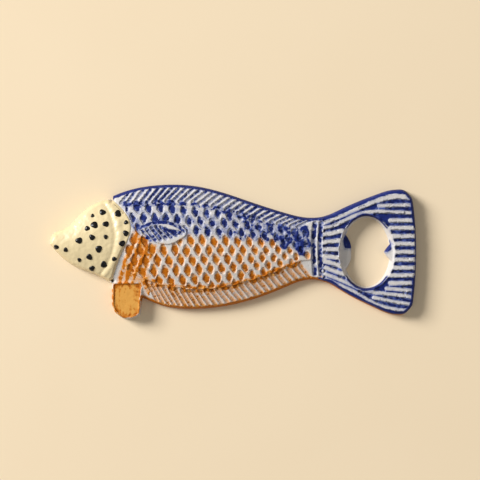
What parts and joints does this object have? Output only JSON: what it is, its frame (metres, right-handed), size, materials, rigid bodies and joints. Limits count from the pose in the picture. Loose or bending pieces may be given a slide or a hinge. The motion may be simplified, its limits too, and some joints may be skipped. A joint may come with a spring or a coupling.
{
  "type": "bottle opener",
  "caption": "Fish-shaped cast-iron bottle opener with a flat back, hand-painted relief and a cap mouth with a lip and a tooth through its tail.",
  "frame": {"origin": "under the middle of the bounding box, on the plane of the flat back that the opener lies on", "axes": "+X from the nose to the tail, +Y from the belly to the back fin, +Z out of the modelled face"},
  "size_m": [0.1565, 0.0576, 0.0102],
  "materials": {
    "ground_coated_iron": "cast iron under a thin white ground coat",
    "cream_enamel": "gloss enamel",
    "black_enamel": "gloss enamel",
    "blue_enamel": "satin enamel",
    "orange_enamel": "satin enamel"
  },
  "bodies": {
    "root": {"casting": "ground_coated_iron", "head_enamel": "cream_enamel", "head_spots": "black_enamel", "back_fin_enamel": "blue_enamel", "back_scale_enamel": "blue_enamel", "side_fin_enamel": "blue_enamel", "tail_root_enamel": "blue_enamel", "tail_ray_enamel": "blue_enamel", "back_edge_enamel": "blue_enamel", "belly_scale_enamel": "orange_enamel", "belly_fin_enamel": "orange_enamel", "pelvic_fin_enamel": "orange_enamel", "belly_edge_enamel": "orange_enamel"}
  },
  "joints": []
}
